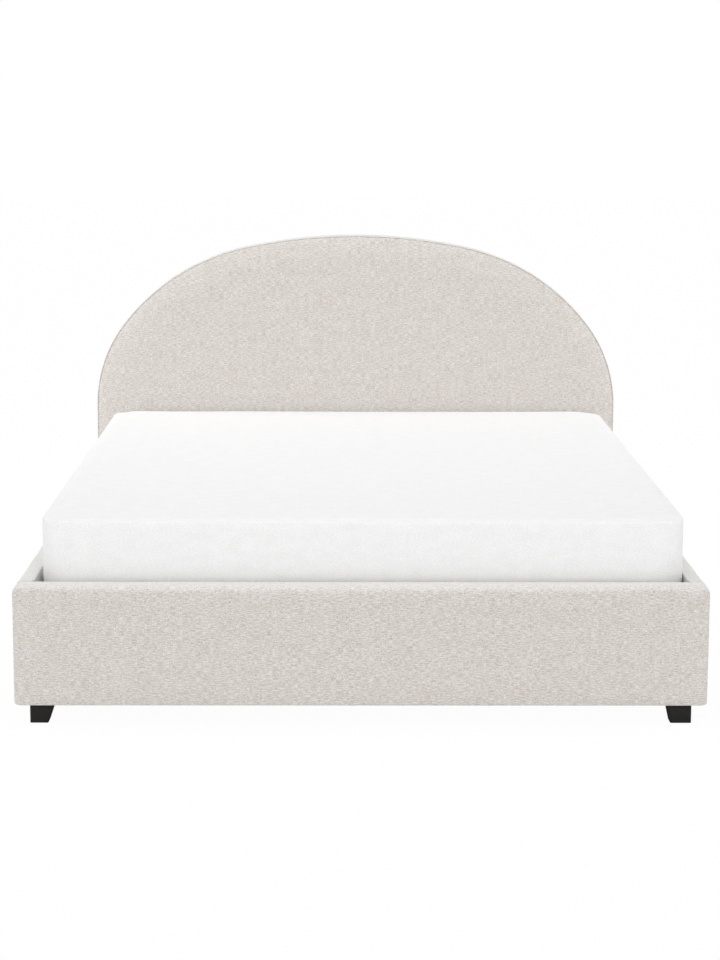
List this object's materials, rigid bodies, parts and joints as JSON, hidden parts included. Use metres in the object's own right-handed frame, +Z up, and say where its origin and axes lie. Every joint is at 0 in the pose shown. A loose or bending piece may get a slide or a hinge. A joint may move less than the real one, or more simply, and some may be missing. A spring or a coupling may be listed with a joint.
{
  "type": "upholstered double storage bed",
  "caption": "Upholstered double bed with an arched padded headboard, a recessed mattress and a slatted platform that tilts up on gas struts over a storage box.",
  "frame": {"origin": "on the floor under the middle of the bed's outer box", "axes": "+X to the right as seen from the foot end, +Y towards the headboard, +Z up"},
  "size_m": [1.722, 2.173, 1.08],
  "materials": {
    "upholstery_fabric": "matte",
    "particle_board": "matte",
    "softwood": "matte",
    "black_lining_cloth": "matte",
    "grey_fibreboard": "matte",
    "black_plastic": "satin",
    "zinc_steel": "satin",
    "black_rubber": "matte",
    "birch_plywood": "satin",
    "grey_plastic": "matte",
    "white_nylon": "satin",
    "grey_webbing": "matte",
    "white_knit": "matte",
    "foam": "matte",
    "spring_pocket_felt": "matte",
    "black_steel": "satin",
    "chromed_steel": "gloss"
  },
  "bodies": {
    "bed_base": {"headboard_pad": "upholstery_fabric", "headboard_panel": "particle_board", "headboard_rim": "softwood", "headboard_uprights": "softwood", "headboard_cross_rails": "softwood", "headboard_band": "upholstery_fabric", "headboard_back_cloth": "black_lining_cloth", "footboard_core": "particle_board", "footboard_cover": "upholstery_fabric", "side_rail_core_left": "particle_board", "side_rail_core_right": "particle_board", "side_rail_cover_left": "upholstery_fabric", "side_rail_cover_right": "upholstery_fabric", "corner_brackets": "black_steel", "corner_bolts": "zinc_steel", "foot_front_left": "black_plastic", "foot_front_right": "black_plastic", "foot_rear_left": "black_plastic", "foot_rear_right": "black_plastic", "foot_bolts": "zinc_steel", "floor_ledge_left": "softwood", "floor_ledge_right": "softwood", "floor_centre_beam": "softwood", "centre_feet": "black_plastic", "storage_floor_panels": "grey_fibreboard", "lift_base_plate_left": "black_steel", "lift_base_plate_right": "black_steel", "glide_track_left": "black_steel", "glide_track_right": "black_steel", "base_studs": "zinc_steel", "rest_brackets": "black_steel", "rest_buffers": "black_rubber", "rail_screws": "zinc_steel"},
    "lift_platform": {"platform_side_tube_left": "black_steel", "platform_side_tube_right": "black_steel", "platform_head_tube": "black_steel", "platform_foot_tube": "black_steel", "platform_centre_tubes": "black_steel", "platform_cross_tube": "black_steel", "slats_left": "birch_plywood", "slats_right": "birch_plywood", "slat_side_caps": "grey_plastic", "slat_centre_caps": "grey_plastic", "hinge_plate_left": "black_steel", "hinge_plate_right": "black_steel", "platform_studs": "zinc_steel", "glides": "white_nylon", "mattress_stop": "black_steel", "pull_strap": "grey_webbing", "mattress_cover": "white_knit", "mattress_pads": "foam", "mattress_border": "foam", "mattress_springs": "spring_pocket_felt"},
    "swing_arm_left": {"swing_arm_left": "black_steel"},
    "swing_arm_right": {"swing_arm_right": "black_steel"},
    "strut_cylinder_left": {"strut_cylinder_left": "black_steel"},
    "strut_cylinder_right": {"strut_cylinder_right": "black_steel"},
    "strut_rod_left": {"strut_rod_left": "chromed_steel"},
    "strut_rod_right": {"strut_rod_right": "chromed_steel"}
  },
  "joints": [
    {"name": "lift_arm_left", "type": "hinge", "parent": "bed_base", "child": "swing_arm_left", "pos_m": [-0.8025, 0.33188, 0.103], "axis": [1, 0, 0], "range_deg": [0, 35]},
    {"name": "lift_arm_right", "type": "hinge", "parent": "bed_base", "child": "swing_arm_right", "pos_m": [0.8025, 0.33188, 0.103], "axis": [1, 0, 0], "range_deg": [0, 35]},
    {"name": "platform_tilt", "type": "hinge", "parent": "swing_arm_left", "child": "lift_platform", "pos_m": [-0.8025, 0.59169, 0.253], "axis": [-1, 0, 0], "range_deg": [0, 70]},
    {"name": "strut_cylinder_swing_left", "type": "hinge", "parent": "bed_base", "child": "strut_cylinder_left", "pos_m": [-0.789, 0.53161, 0.09253], "axis": [1, 0, 0], "range_deg": [0, 17.5]},
    {"name": "strut_rod_swing_left", "type": "hinge", "parent": "swing_arm_left", "child": "strut_rod_left", "pos_m": [-0.789, 0.45502, 0.2606], "axis": [-1, 0, 0], "range_deg": [0, 17.5]},
    {"name": "strut_cylinder_swing_right", "type": "hinge", "parent": "bed_base", "child": "strut_cylinder_right", "pos_m": [0.789, 0.53161, 0.09253], "axis": [1, 0, 0], "range_deg": [0, 17.5]},
    {"name": "strut_rod_swing_right", "type": "hinge", "parent": "swing_arm_right", "child": "strut_rod_right", "pos_m": [0.789, 0.45502, 0.2606], "axis": [-1, 0, 0], "range_deg": [0, 17.5]}
  ],
  "couplings": [
    {"joint": "lift_arm_right", "follows": "lift_arm_left", "ratio": 1},
    {"joint": "platform_tilt", "follows": "lift_arm_left", "ratio": 2},
    {"joint": "strut_cylinder_swing_left", "follows": "lift_arm_left", "ratio": 0.5},
    {"joint": "strut_rod_swing_left", "follows": "lift_arm_left", "ratio": 0.5},
    {"joint": "strut_cylinder_swing_right", "follows": "lift_arm_left", "ratio": 0.5},
    {"joint": "strut_rod_swing_right", "follows": "lift_arm_left", "ratio": 0.5}
  ]
}
